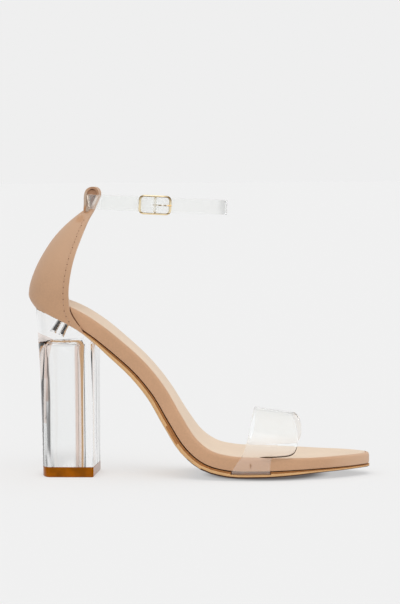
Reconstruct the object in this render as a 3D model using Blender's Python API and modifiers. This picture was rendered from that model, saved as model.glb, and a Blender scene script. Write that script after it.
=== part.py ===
"""Clear block-heel ankle-strap sandal for the right foot.

+X points to the toe, -Y is the outer (lateral) side, +Z is up and the floor is Z = 0.
The tables are in millimetres and each row is one section of the shoe.
"""

import math

import bmesh
import bpy
import numpy as np

MM = 0.001
GAP = 0.3

# The sole, one row per section from the back of the heel to the tip of the toe.
# x and z follow the top of the sock; lateral and medial are half widths of the rand;
# board is the thickness of the wrapped footbed; sheet that of the outsole at its edge;
# crown is how far the middle of the outsole hangs below its edge.
SOLE = (
    # x, z, lateral, medial, board, sheet, crown
    (-105.7, 117.2, 25.2, 25.2, 7.4, 1.1, 0.0),
    (-98.0, 115.3, 25.2, 25.2, 7.9, 1.1, 0.0),
    (-88.0, 112.7, 25.2, 25.2, 8.8, 1.1, 0.0),
    (-79.0, 109.5, 25.2, 25.2, 9.4, 1.2, 0.0),
    (-70.0, 104.9, 24.9, 24.9, 9.7, 1.3, 0.0),
    (-60.0, 98.4, 24.0, 24.0, 9.8, 1.8, 0.0),
    (-46.0, 87.0, 22.2, 22.2, 9.9, 2.9, 0.4),
    (-31.0, 73.1, 20.9, 21.0, 9.8, 3.4, 0.8),
    (-18.7, 57.6, 21.2, 21.8, 9.5, 3.5, 1.2),
    (-7.3, 38.6, 25.0, 25.8, 9.4, 3.5, 1.6),
    (2.8, 24.6, 31.0, 31.5, 9.5, 3.6, 1.9),
    (11.0, 18.8, 35.6, 35.6, 9.8, 3.6, 2.1),
    (22.0, 16.0, 39.2, 39.0, 9.8, 3.6, 2.3),
    (40.0, 15.0, 41.3, 39.8, 9.3, 3.6, 2.1),
    (60.0, 14.3, 41.3, 39.5, 8.2, 3.2, 1.6),
    (78.0, 13.9, 41.3, 39.5, 7.4, 2.1, 1.2),
    (94.0, 14.1, 41.3, 39.5, 7.4, 1.7, 0.8),
    (110.2, 14.1, 41.3, 39.5, 7.2, 1.5, 0.5),
)
MIDDLE_X = 1.15
HEEL_ROUND = 34.0
TOE_ROUND = 63.0
TOE_POWER = 1.55
TOE_LEAN = 6.0
TOE_LEAN_FROM = 170.0
HEEL_END = 0.2
TOE_END = 1.5
HEEL_TUCK = 4.4
STATIONS = 52
GROOVE_SHARE = 0.3
GROOVE_IN = 0.9

# Edge of the wrapped footbed from its foot to the seat of the sock.
FOOTBED_EDGE = (
    # inset, share of the board thickness
    (0.8, 1.0),
    (0.15, 0.95),
    (0.0, 0.85),
    (0.0, 0.5),
    (0.0, 0.24),
    (0.35, 0.12),
    (1.1, 0.055),
    (2.3, 0.035),
)
SEAT_INSET = 2.35
SOCK_INSET = 2.7
SOCK_THICK = 1.0

# Counter: lower rows lie on the side of the footbed, upper rows stand free.
COUNTER_WALL = 1.6
COUNTER_FOOT = 1.14
COUNTER_LOW = (
    # share of the board thickness, front edge along the sole
    (COUNTER_FOOT, 45.9),
    (0.985, 43.7),
    (0.86, 39.8),
    (0.68, 35.4),
    (0.45, 31.5),
    (0.22, 29.2),
    (0.0, 28.0),
)
COUNTER_HIGH = (
    # back_x, back_z, front_x, front_z, half_width
    (-107.2, 121.6, -79.3, 116.6, 26.8),
    (-105.8, 126.5, -78.8, 124.2, 26.0),
    (-102.3, 135.0, -77.1, 135.2, 23.9),
    (-96.7, 144.8, -74.3, 145.4, 21.1),
    (-89.5, 154.7, -70.8, 155.4, 17.3),
    (-80.8, 163.0, -67.6, 164.3, 12.9),
    (-72.7, 169.2, -64.9, 169.8, 7.5),
)
COUNTER_ROWS = 11
COUNTER_ACROSS = 12
COUNTER_SKIVE = 0.5
SKIVE_FROM = 0.8
COUNTER_MIDDLE = (-78.0, 0.0, 135.0)
MEDIAL_SHORT = 6.5
MEDIAL_NARROW = 0.97
SEAT_HALF_WIDTH = 25.2

# The folded loop at the top of the counter, its outer outline seen from the side.
LOOP = (
    # x, z
    (-72.0, 168.6),
    (-71.9, 172.4),
    (-71.8, 176.0),
    (-71.7, 179.2),
    (-70.8, 182.3),
    (-68.4, 184.3),
    (-65.3, 184.6),
    (-63.1, 183.0),
    (-62.3, 180.2),
    (-63.6, 176.4),
    (-65.8, 172.0),
    (-67.3, 168.2),
    (-69.6, 166.2),
)
LOOP_POINTS = 26
LOOP_WALL = 1.4
LOOP_HALF_WIDTH = 7.4
LOOP_BOW = 1.0

# The clear heel block; round is how much of its length its rounded back takes.
# It is hollow below the part that takes the nails.
HEEL_BREAST = -64.7
HEEL = (
    # share of the height, back_x, half_width, round
    (0.0, -98.9, 21.0, 6.5),
    (0.28, -99.4, 21.2, 7.2),
    (0.52, -100.1, 21.6, 8.2),
    (0.72, -101.0, 22.2, 10.0),
    (0.86, -102.0, 22.9, 15.0),
    (1.0, -102.9, 23.4, 25.0),
)
HEEL_ALONG = 11
HEEL_RINGS = 8
HEEL_FRONT_CORNER = 0.8
HOLLOW_BACK = -94.4
HOLLOW_FRONT = -70.2
HOLLOW_HALF_WIDTH = 15.0
HOLLOW_CORNER = 8.5
HOLLOW_BACK_CORNER = 5.0
HOLLOW_TOP = 87.6
HOLLOW_ROUND = 4.6
HOLLOW_FOOT = 4.2
HOLLOW_STEPS = 6
TIP_HEIGHT = 6.2
TIP_EDGE = 0.5
NAIL_RADIUS = 1.1
NAIL_LENGTH = 9.0
NAILS_X = (-84.9, -81.2)

# Clear strap over the toes, from its tucked end under the rand to the top of the arch.
VAMP_THICK = 1.2
VAMP_OFF = 0.95
VAMP_TUCKED = (
    # inset, depth below the rand's foot, rear_x, front_x
    (4.0, 0.95, 26.6, 48.2),
    (0.9, 0.95, 26.0, 48.8),
    (0.3, 0.95, 25.8, 49.0),
    (-0.35, 0.72, 25.7, 49.0),
    (-0.8, 0.3, 25.6, 49.0),
)
VAMP_WRAPPED = (
    # share of the board thickness, rear_x, front_x
    (0.9, 25.8, 49.0),
    (0.5, 27.8, 49.1),
    (0.2, 29.6, 49.2),
)
VAMP_ARCH = (
    # angle, rear_x, front_x
    (0.8, 30.3, 49.4),
    (2.2, 30.8, 49.8),
    (3.7, 31.2, 50.6),
    (4.5, 31.4, 59.3),
    (6.3, 32.0, 62.4),
    (9.8, 32.8, 64.3),
    (17.0, 34.0, 65.5),
    (29.0, 35.2, 66.0),
    (43.0, 36.0, 65.4),
    (58.0, 36.5, 63.6),
    (74.0, 36.8, 61.7),
    (90.0, 36.9, 61.0),
)
VAMP_REAR_RISE = 29.6
VAMP_FRONT_RISE = 26.6
VAMP_POWER = 2.2
VAMP_COLUMNS = 9

# Ankle strap: an oval band, lower at the front, in its own tilted frame.
STRAP_CENTRE = (-23.1, 0.0, 173.1)
STRAP_TILT = 2.9
STRAP_AHEAD = 42.7
STRAP_BEHIND = 45.8
STRAP_HALF_WIDTH = 30.0
STRAP_POWER = 2.2
STRAP_THICK = 1.2
STRAP_HEIGHT = 9.2
STRAP_TURNS = (
    # turn angle from the front, offset outwards
    (-258.0, 0.0),
    (40.0, 0.0),
    (55.0, 0.2),
    (70.0, 0.9),
    (77.3, 1.35),
    (80.8, 1.5),
    (85.4, 3.4),
    (88.0, 4.6),
    (90.0, 4.85),
    (92.2, 4.6),
    (94.8, 3.4),
    (99.2, 1.6),
    (103.0, 1.55),
    (110.0, 1.55),
    (136.0, 1.6),
)
STRAP_STEPS = 92
HOOK_RADIUS = 1.65
HOOK_STEPS = 9
HOOK_SWEEP = 205.0
SLOT_BACK = 2.6
SLOT_FRONT = 5.2
SLOT_HEIGHT = 2.2

# Buckle, in the strap's frame.
BUCKLE_LENGTH = 20.8
BUCKLE_HEIGHT = 12.3
BUCKLE_CORNER = 2.6
BUCKLE_SIDE = 1.6
BUCKLE_RAIL = 1.2
BUCKLE_DEEP = 1.5
BUCKLE_OUT = 3.25
BAR_OUT = 1.65
BAR_RADIUS = 0.6
PRONG_RADIUS = 0.45
PRONG = (
    # along, outwards
    (-1.3, 1.3),
    (-0.7, 0.5),
    (0.3, 0.33),
    (1.1, 0.85),
    (1.38, 1.7),
    (1.2, 2.7),
    (1.6, 3.8),
    (2.9, 4.75),
    (5.5, 5.05),
    (8.0, 4.95),
    (10.6, 4.85),
)


def column(table, index):
    return np.array([row[index] for row in table], float)


def through(keys, values, at):
    """A smooth curve through the rows of a table."""
    slopes = np.gradient(values, keys)
    at = np.clip(np.asarray(at, float), keys[0], keys[-1])
    low = np.clip(np.searchsorted(keys, at, side="right") - 1, 0, len(keys) - 2)
    step = keys[low + 1] - keys[low]
    t = (at - keys[low]) / step
    start = (1 + 2 * t) * (1 - t) ** 2 * values[low] + t * (1 - t) ** 2 * step * slopes[low]
    return start + t * t * (3 - 2 * t) * values[low + 1] + t * t * (t - 1) * step * slopes[low + 1]


def lengths(points):
    steps = np.linalg.norm(np.diff(points, axis=0), axis=1)
    return np.concatenate([[0.0], np.cumsum(steps)])


# Side view of the sole, walked along the top of the sock.
row_points = np.stack([column(SOLE, 0), column(SOLE, 1)], 1)
row_chord = lengths(row_points)
fine_chord = np.linspace(0.0, row_chord[-1], 1200)
fine_line = np.stack([through(row_chord, row_points[:, k], fine_chord) for k in (0, 1)], 1)
fine_walk = lengths(fine_line)
SOLE_LENGTH = fine_walk[-1]
row_walk = np.interp(row_chord, fine_chord, fine_walk)
fine_tangent = np.gradient(fine_line, fine_walk, axis=0)
fine_tangent /= np.linalg.norm(fine_tangent, axis=1)[:, None]


def sole_size(index, walk):
    return through(row_walk, column(SOLE, index), walk)


def walk_at_x(x):
    return np.interp(x, fine_line[:, 0], fine_walk)


def half_widths(walk):
    """Half widths of the rand on both sides, with rounded heel and toe."""
    walk = np.asarray(walk, float)
    behind = np.clip(1 - (walk + HEEL_END) / HEEL_ROUND, 0, 1)
    ahead = np.clip(1 - (SOLE_LENGTH - walk + TOE_END) / TOE_ROUND, 0, 1)
    rounding = np.sqrt(1 - behind**2) * (1 - ahead**TOE_POWER) ** (1 / TOE_POWER)
    forward = np.clip((walk - TOE_LEAN_FROM) / (SOLE_LENGTH - TOE_LEAN_FROM), 0, 1)
    lean = TOE_LEAN * forward**1.5
    return sole_size(2, walk) * rounding - lean, sole_size(3, walk) * rounding + lean


def sole_point(walk, y, depth):
    """A point below the top of the sock; the back of the heel tucks in with depth."""
    walk = np.asarray(walk, float)
    depth = np.asarray(depth, float)
    tuck = np.clip(1 - walk / HEEL_ROUND, 0, 1.1) ** 2 * np.clip(depth / SOLE[0][4], 0, 1.12) ** 2
    walk = walk + HEEL_TUCK * tuck
    inside = np.clip(walk, 0, SOLE_LENGTH)
    line = np.stack([np.interp(inside, fine_walk, fine_line[:, k]) for k in (0, 1)], -1)
    tangent = np.stack([np.interp(inside, fine_walk, fine_tangent[:, k]) for k in (0, 1)], -1)
    tangent /= np.linalg.norm(tangent, axis=-1)[..., None]
    line = line + tangent * (walk - inside)[..., None]
    x = line[..., 0] + depth * tangent[..., 1]
    z = line[..., 1] - depth * tangent[..., 0]
    return np.stack([x, np.broadcast_to(y, x.shape), z], -1)


def stations():
    """Places along the sole, closer together at both ends and at the bend of the ball."""
    walk = np.linspace(0, SOLE_LENGTH, 4000)
    bend = walk_at_x(2.8)
    dense = 1 + 3 * np.exp(-walk / 7) + 2.2 * np.exp((walk - SOLE_LENGTH) / 9)
    dense += 0.7 * np.exp(-(((walk - bend) / 26) ** 2))
    count = np.concatenate([[0], np.cumsum((dense[1:] + dense[:-1]) / 2)])
    return np.interp(np.linspace(0, count[-1], STATIONS), count, walk)


def outline():
    """The rand from above, unrolled: down the lateral side and back up the medial side."""
    walk = stations()
    lateral, medial = half_widths(walk)
    return np.concatenate([np.stack([walk, -lateral], 1), np.stack([walk, medial], 1)[::-1]])


def outward(loop):
    ahead = np.roll(loop, -1, axis=0) - loop
    ahead /= np.linalg.norm(ahead, axis=1)[:, None]
    both = ahead + np.roll(ahead, 1, axis=0)
    both /= np.linalg.norm(both, axis=1)[:, None]
    return np.stack([both[:, 1], -both[:, 0]], 1)


SOLE_LOOP = outline()
SOLE_OUT = outward(SOLE_LOOP)


def inset_loop(inset):
    return SOLE_LOOP - SOLE_OUT * inset


def sole_ring(inset, depth_of):
    loop = inset_loop(inset)
    return sole_point(loop[:, 0], loop[:, 1], depth_of(loop[:, 0]))


def sole_cover(inset, depth_of, bulge_of, shares):
    """Columns of points across the sole inside one ring, sagging by the bulge."""
    loop = inset_loop(inset)
    near = loop[:STATIONS]
    far = loop[STATIONS:][::-1]
    columns = []
    for share in shares:
        flat = near + (far - near) * share
        sag = bulge_of(flat[:, 0]) * (1 - abs(2 * share - 1) ** 3)
        columns.append(sole_point(flat[:, 0], flat[:, 1], depth_of(flat[:, 0]) + sag))
    return columns


def new_object(name, points, faces, group, colour=None, flat=False):
    mesh = bpy.data.meshes.new(name)
    mesh.from_pydata([tuple(p * MM) for p in np.asarray(points, float)], [], faces)
    shaped = bmesh.new()
    shaped.from_mesh(mesh)
    bmesh.ops.recalc_face_normals(shaped, faces=shaped.faces)
    shaped.to_mesh(mesh)
    shaped.free()
    made = bpy.data.objects.new(name, mesh)
    group.objects.link(made)
    if not flat:
        mesh.shade_smooth()
    if colour:
        made.data.materials.append(paint(name, *colour))
    return made


def paint(name, colour, rough, metal=0.0, clear=0.0):
    material = bpy.data.materials.new(name)
    material.use_nodes = True
    shader = material.node_tree.nodes["Principled BSDF"]
    shader.inputs["Base Color"].default_value = (*colour, 1)
    shader.inputs["Roughness"].default_value = rough
    shader.inputs["Metallic"].default_value = metal
    shader.inputs["Transmission Weight"].default_value = clear
    shader.inputs["IOR"].default_value = 1.49
    return material


def bridged(first, second, count, closed=True):
    """Faces between two rings of points that start at the given numbers."""
    last = count if closed else count - 1
    faces = []
    for i in range(last):
        j = (i + 1) % count
        faces.append((first + i, first + j, second + j, second + i))
    return faces


def capped(ring, columns, count):
    """Faces across a sole ring; columns are the numbers where its inner columns start."""
    faces = []
    half = count // 2
    for i in range(half - 1):
        row = [ring + i] + [c + i for c in columns] + [ring + count - 1 - i]
        ahead = [ring + i + 1] + [c + i + 1 for c in columns] + [ring + count - 2 - i]
        for k in range(len(row) - 1):
            faces.append((row[k], ahead[k], ahead[k + 1], row[k + 1]))
    return faces


def ended(faces, columns, count):
    """The first band of a sole layer, with the inner columns on its two end faces."""
    half = count // 2
    kept = [f for i, f in enumerate(faces) if i not in (half - 1, count - 1)]
    heel_end = [0] + list(columns) + [count - 1, 2 * count - 1, count]
    toe_end = [half - 1] + [c + half - 1 for c in columns] + [half, count + half, count + half - 1]
    return kept + [tuple(heel_end), tuple(toe_end)]


def sole_layer(name, rings, low_columns, group, colour, lift=False):
    """A layer of the sole: rings from its foot to its top, closed below and above."""
    count = 2 * STATIONS
    points = np.concatenate(list(rings) + list(low_columns))
    if lift:
        points[:, 2] = np.maximum(points[:, 2], 0.0)
    start = len(rings) * count
    low = [start + k * STATIONS for k in range(len(low_columns))]
    faces = ended(bridged(0, count, count), low, count)
    for k in range(1, len(rings) - 1):
        faces += bridged(k * count, (k + 1) * count, count)
    faces += capped(0, low, count)
    faces += capped((len(rings) - 1) * count, (), count)
    return new_object(name, points, faces, group, colour)


def board(walk):
    return sole_size(4, walk)


def sheet(walk):
    return sole_size(5, walk)


def footbed(group, colour):
    rings = [sole_ring(inset, lambda w, k=share: board(w) * k) for inset, share in FOOTBED_EDGE]
    rings.append(sole_ring(SEAT_INSET, lambda w: 0 * w + SOCK_THICK + GAP))
    return sole_layer("footbed", rings, (), group, colour)


def sock(group, colour):
    rings = (
        sole_ring(SOCK_INSET, lambda w: 0 * w + SOCK_THICK),
        sole_ring(SOCK_INSET, lambda w: 0 * w + SOCK_THICK * 0.4),
        sole_ring(SOCK_INSET + 0.35, lambda w: 0 * w + SOCK_THICK * 0.1),
        sole_ring(SOCK_INSET + 0.9, lambda w: 0 * w),
    )
    return sole_layer("sock", rings, (), group, colour)


def outsole_foot(walk):
    return board(walk) + GAP + sheet(walk)


def outsole(group, colour):
    """Thin sheet with a groove under the rand and a hanging, rounded underside."""
    edge = (
        # inset, share of the sheet
        (0.9, 1.0),
        (0.2, 0.9),
        (0.0, 0.75),
        (0.0, GROOVE_SHARE + 0.06),
        (0.12, GROOVE_SHARE),
        (GROOVE_IN, GROOVE_SHARE),
        (GROOVE_IN, 0.0),
    )
    rings = [
        sole_ring(inset, lambda w, k=share: board(w) + GAP + sheet(w) * k) for inset, share in edge
    ]
    low = sole_cover(edge[0][0], outsole_foot, lambda w: sole_size(6, w), (0.1, 0.3, 0.5, 0.7, 0.9))
    return sole_layer("outsole", rings, low, group, colour, lift=True)


def grid_faces(start, rows, columns):
    faces = []
    for r in range(rows - 1):
        faces += bridged(start + r * columns, start + (r + 1) * columns, columns, closed=False)
    return faces


def shell(name, outer, inner, group, colour):
    """A wall between two grids of points, closed along its rim."""
    rows, columns = outer.shape[:2]
    size = rows * columns
    points = np.concatenate([outer.reshape(-1, 3), inner.reshape(-1, 3)])
    faces = grid_faces(0, rows, columns)
    faces += [face[::-1] for face in grid_faces(size, rows, columns)]
    rim = list(range(columns))
    rim += [r * columns + columns - 1 for r in range(1, rows)]
    rim += [(rows - 1) * columns + c for c in range(columns - 2, -1, -1)]
    rim += [r * columns for r in range(rows - 2, 0, -1)]
    for a, b in zip(rim, rim[1:] + rim[:1]):
        faces.append((a, b, size + b, size + a))
    return new_object(name, points, faces, group, colour)


def counter_rows():
    """Outer and inner face of the counter, from the medial edge round the back."""
    turn = np.linspace(-1, 1, COUNTER_ACROSS * 2 + 1)
    angle = np.abs(turn) * math.pi / 2
    side = np.sign(turn)
    shorter = np.where(turn < 0, MEDIAL_SHORT, 0.0)
    outer = []
    inner = []
    for share, front in COUNTER_LOW:
        walk = (front - shorter) * (1 - np.cos(angle))
        half = half_widths(walk)[0]
        here = np.stack([walk, np.where(turn == 0, 0, half)], 1)
        behind = np.clip(1 - (walk + HEEL_END) / HEEL_ROUND, 0, 1)
        across = np.sin(angle).clip(0.001)
        normal = np.stack([-behind / HEEL_ROUND, here[:, 1] / SEAT_HALF_WIDTH**2 + 1e-6 * across], 1)
        normal /= np.linalg.norm(normal, axis=1)[:, None]
        thinned = COUNTER_WALL * (1 - COUNTER_SKIVE * np.clip((np.abs(turn) - SKIVE_FROM) / (1 - SKIVE_FROM), 0, 1))
        for faces, wall in ((outer, thinned), (inner, 0 * thinned)):
            flat = here + normal * (1.5 * GAP + wall)[:, None]
            y = -side * flat[:, 1]
            faces.append(sole_point(flat[:, 0], y, board(np.clip(walk, 0, None)) * share))
    reach = 1 - np.cos(angle)
    keys = np.arange(len(COUNTER_HIGH))
    for row in np.linspace(0, keys[-1], COUNTER_ROWS):
        back_x, back_z, front_x, front_z, half = (through(keys, column(COUNTER_HIGH, k), row) for k in range(5))
        x = back_x + (front_x - shorter * half / COUNTER_HIGH[0][4] - back_x) * reach
        z = back_z + (front_z - back_z) * reach
        wide = half * np.where(turn < 0, MEDIAL_NARROW, 1.0)
        outer.append(np.stack([x, -side * wide * np.sin(angle), z], 1))
    return np.array(outer), inner


def offset_inward(outer, wall, centre):
    """The grid moved along its own normals, away from the outside."""
    normal = np.cross(np.gradient(outer, axis=0), np.gradient(outer, axis=1))
    normal /= np.linalg.norm(normal, axis=2)[..., None]
    away = np.sum(normal * (outer - centre), axis=2).mean()
    return outer - normal * wall * np.sign(away)


def closed_curve(table, count):
    """A smooth closed line through a table of points."""
    rows = np.array(table, float)
    padded = np.concatenate([rows[-3:], rows, rows[:4]])
    chord = lengths(padded)
    start = chord[3]
    end = chord[3 + len(rows)]
    at = np.linspace(start, end, count, endpoint=False)
    return np.stack([through(chord, padded[:, k], at) for k in (0, 1)], 1)


def counter_loop(group):
    """The folded tab: a ring seen from the side, bowed round the back of the heel."""
    line = closed_curve(LOOP, LOOP_POINTS)
    out = outward(line)
    centre = line.mean(axis=0)
    out = out * np.sign(np.sum(out * (line - centre)))
    inside = line - out * LOOP_WALL
    across = np.linspace(-1, 1, 5)
    points = []
    for share in across:
        bow = LOOP_BOW * share**2
        for ring in (line, inside):
            y = np.full(len(ring), share * LOOP_HALF_WIDTH)
            points.append(np.stack([ring[:, 0] + bow, y, ring[:, 1]], 1))
    count = len(line)
    faces = []
    for k in range(len(across) - 1):
        faces += bridged(2 * k * count, (2 * k + 2) * count, count)
        faces += bridged((2 * k + 3) * count, (2 * k + 1) * count, count)
    last = 2 * (len(across) - 1) * count
    faces += bridged(count, 0, count)
    faces += bridged(last, last + count, count)
    return new_object("loop_tool", np.concatenate(points), faces, group)


def counter(group, tools, colour):
    outer, inner_low = counter_rows()
    inner = offset_inward(outer, COUNTER_WALL, np.array(COUNTER_MIDDLE))
    inner[: len(inner_low)] = np.array(inner_low)
    made = shell("counter", outer, inner, group, colour)
    join(made, counter_loop(tools), "UNION")
    return made


def join(target, tool, operation):
    modifier = target.modifiers.new(operation.lower(), "BOOLEAN")
    modifier.operation = operation
    modifier.solver = "EXACT"
    modifier.object = tool


def seat_height(x):
    """Height of the outsole's underside over the heel, from the side view."""
    walk = np.linspace(0, 90, 400)
    under = sole_point(np.maximum(walk, 0), 0.0, outsole_foot(walk))
    return np.interp(x, under[:, 0], under[:, 2])


def heel_section(back, half, rounding):
    """Half of the heel's plan from its back to its breast."""
    angle = np.linspace(0, math.pi / 2, HEEL_ALONG)
    run = np.linspace(back + rounding, HEEL_BREAST - HEEL_FRONT_CORNER, HEEL_ALONG)[1:]
    x = np.concatenate([back + rounding * (1 - np.cos(angle)), run, [HEEL_BREAST]])
    y = np.concatenate([half * np.sin(angle) ** 0.8, np.full(len(run), half), [half - HEEL_FRONT_CORNER]])
    y[0] = half * 0.1
    return x, y


def heel_ring(share, base):
    keys = column(HEEL, 0)
    back, half, rounding = (float(through(keys, column(HEEL, k), share)) for k in (1, 2, 3))
    x, y = heel_section(back, half, rounding)
    top = seat_height(x) - 1.5 * GAP
    z = base + (top - base) * share
    near = np.stack([x, -y, z], 1)
    far = np.stack([x, y, z], 1)
    return np.concatenate([near, far[::-1]])


def stacked(name, rings, group, colour):
    """Rings of equal count, bridged and closed by faces across."""
    count = len(rings[0])
    faces = []
    for k in range(len(rings) - 1):
        faces += bridged(k * count, (k + 1) * count, count)
    faces += capped(0, (), count)
    faces += capped((len(rings) - 1) * count, (), count)
    return new_object(name, np.concatenate(rings), faces, group, colour, flat=True)


def rounded_frame(half_long, half_high, corner, back_corner, steps):
    """A rectangle with round corners, as a closed line about its middle."""
    quarter = np.radians(np.linspace(0, 90, steps))
    points = []
    for start, along, up in ((0, 1, 1), (90, -1, 1), (180, -1, -1), (270, 1, -1)):
        turn = quarter + math.radians(start)
        radius = corner if along > 0 else back_corner
        centre = np.array([along * (half_long - radius), up * (half_high - radius)])
        points.append(centre + radius * np.stack([np.cos(turn), np.sin(turn)], 1))
    return np.concatenate(points)


def heel_hollow(tools):
    """The moulded hollow of the heel block, open towards the heel tip."""
    middle = (HOLLOW_BACK + HOLLOW_FRONT) / 2
    half_long = (HOLLOW_FRONT - HOLLOW_BACK) / 2
    levels = [(0.0, HOLLOW_FOOT)]
    for turn in np.linspace(0, math.pi / 2, HOLLOW_STEPS):
        inset = HOLLOW_ROUND * (1 - math.cos(turn))
        levels.append((inset, HOLLOW_TOP - HOLLOW_ROUND * (1 - math.sin(turn))))
    rings = []
    for inset, height in levels:
        corners = (HOLLOW_CORNER - inset, HOLLOW_BACK_CORNER - inset)
        plan = rounded_frame(half_long - inset, HOLLOW_HALF_WIDTH - inset, *corners, HOLLOW_STEPS)
        rings.append(np.concatenate([plan + (middle, 0.0), np.full((len(plan), 1), height)], 1))
    count = len(rings[0])
    faces = [tuple(range(count)), tuple(range((len(rings) - 1) * count, len(rings) * count))]
    for k in range(len(rings) - 1):
        faces += bridged(k * count, (k + 1) * count, count)
    return new_object("hollow_tool", np.concatenate(rings), faces, tools)


def heel(group, tools, colour):
    base = TIP_HEIGHT + GAP
    shares = np.linspace(0, 1, HEEL_RINGS)
    made = stacked("heel", [heel_ring(s, base) for s in shares], group, colour)
    join(made, heel_hollow(tools), "DIFFERENCE")
    for number, x in enumerate(NAILS_X, 1):
        bore = rod(f"bore_tool_{number}", nail_line(x, NAIL_LENGTH + 1.0, 2.0), NAIL_RADIUS + GAP, tools)
        join(made, bore, "DIFFERENCE")
    return made


def heel_tip(group, colour):
    x, y = heel_section(*HEEL[0][1:])
    plan = np.concatenate([np.stack([x, -y], 1), np.stack([x, y], 1)[::-1]])
    out = outward(plan)
    rings = []
    for inset, height in ((TIP_EDGE, 0.0), (0.0, TIP_EDGE), (0.0, TIP_HEIGHT)):
        flat = plan - out * inset
        rings.append(np.concatenate([flat, np.full((len(flat), 1), height)], 1))
    return stacked("heel_tip", rings, group, colour)


def nail_line(x, below, above):
    """Two ends of a nail driven square to the seat."""
    slope = math.atan2(seat_height(x + 2) - seat_height(x - 2), 4.0)
    up = np.array([-math.sin(slope), 0.0, math.cos(slope)])
    top = np.array([x, 0.0, seat_height(x) - 1.5 * GAP])
    return np.array([top - up * below, top + up * above])


def rod(name, line, radius, group, colour=None, sides=14):
    """A round rod along a line of points, closed at both ends."""
    line = np.asarray(line, float)
    ahead = np.gradient(line, axis=0)
    ahead /= np.linalg.norm(ahead, axis=1)[:, None]
    turn = np.linspace(0, 2 * math.pi, sides, endpoint=False)
    reference = np.array([0.0, 1.0, 0.0])
    if abs(ahead[:, 1]).max() > 0.7 or name.startswith("buckle"):
        reference = np.array([0.0, 0.0, 1.0])
    points = []
    for place, way in zip(line, ahead):
        across = np.cross(way, reference)
        across /= np.linalg.norm(across)
        upward = np.cross(across, way)
        ring = np.cos(turn)[:, None] * across + np.sin(turn)[:, None] * upward
        points.append(place + ring * radius)
    faces = []
    for k in range(len(line) - 1):
        faces += bridged(k * sides, (k + 1) * sides, sides)
    faces.append(tuple(range(sides)))
    faces.append(tuple(range((len(line) - 1) * sides, len(line) * sides)))
    return new_object(name, np.concatenate(points), faces, group, colour)


def vamp_side(sign):
    """Rows of the toe strap from under the rand up to the arch, on one side."""
    rows = []
    spread = np.linspace(0, 1, VAMP_COLUMNS)

    def edge(rear, front):
        x = rear + (front - rear) * spread
        walk = walk_at_x(x)
        lateral, medial = half_widths(walk)
        return x, walk, lateral if sign < 0 else medial

    for inset, below, rear, front in VAMP_TUCKED:
        _, walk, half = edge(rear, front)
        rows.append(sole_point(walk, sign * (half - inset), board(walk) + below))
    for share, rear, front in VAMP_WRAPPED:
        _, walk, half = edge(rear, front)
        rows.append(sole_point(walk, sign * (half + VAMP_OFF), board(walk) * share))
    for angle, rear, front in VAMP_ARCH:
        x, walk, half = edge(rear, front)
        foot = sole_point(walk, 0.0, board(walk) * 0.18)
        rise = np.interp(x, (VAMP_ARCH[-1][1], VAMP_ARCH[-1][2]), (VAMP_REAR_RISE, VAMP_FRONT_RISE))
        turn = math.radians(angle)
        y = (half + VAMP_OFF) * math.cos(turn) ** (2 / VAMP_POWER)
        z = foot[:, 2] + rise * math.sin(turn) ** (2 / VAMP_POWER)
        rows.append(np.stack([foot[:, 0], sign * y, z], 1))
    return rows


def vamp_strap(group, colour):
    """Clear sheet over the toes, thickened evenly to both sides."""
    grid = np.array(vamp_side(-1) + vamp_side(1)[-2::-1])
    rows, columns = grid.shape[:2]
    made = new_object("vamp_strap", grid.reshape(-1, 3), grid_faces(0, rows, columns), group, colour)
    wall = made.modifiers.new("wall", "SOLIDIFY")
    wall.thickness = VAMP_THICK * MM
    wall.offset = 0.0
    wall.use_even_offset = True
    return made


def vamp_notch(tools, side, inset_from, inset_to):
    """Room for the tucked end of the toe strap in the top of the outsole."""
    _, _, rear, front = VAMP_TUCKED[0]
    x = np.linspace(rear - 1.6, front + 1.4, 12)
    walk = walk_at_x(x)
    lateral, medial = half_widths(walk)
    half = lateral if side < 0 else medial
    points = []
    for inset, down in ((inset_from, -1.0), (inset_to, -1.0), (inset_to, 1.0), (inset_from, 1.0)):
        depth = board(walk) + VAMP_TUCKED[0][1] + down * (VAMP_THICK / 2 + GAP)
        if down < 0:
            depth = board(walk) - 0.5
        points.append(sole_point(walk, side * (half - inset), depth))
    order = np.stack(points, 1).reshape(-1, 3)
    faces = [tuple(range(4)), tuple(range(len(order) - 4, len(order)))]
    for k in range(len(walk) - 1):
        faces += bridged(4 * k, 4 * k + 4, 4)
    return new_object("notch_tool", order, faces, tools)


def strap_oval(turn, out):
    """A point of the ankle strap's line in its own frame."""
    turn = np.radians(np.asarray(turn, float))
    along = np.sign(np.cos(turn)) * np.abs(np.cos(turn)) ** (2 / STRAP_POWER)
    across = np.sign(np.sin(turn)) * np.abs(np.sin(turn)) ** (2 / STRAP_POWER)
    half_length = np.where(along < 0, STRAP_BEHIND, STRAP_AHEAD)
    line = np.stack([half_length * along, -STRAP_HALF_WIDTH * across], -1)
    away = np.stack([np.cos(turn) / half_length, -np.sin(turn) / STRAP_HALF_WIDTH], -1)
    away /= np.linalg.norm(away, axis=-1)[..., None]
    return line + away * np.asarray(out)[..., None]


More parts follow.
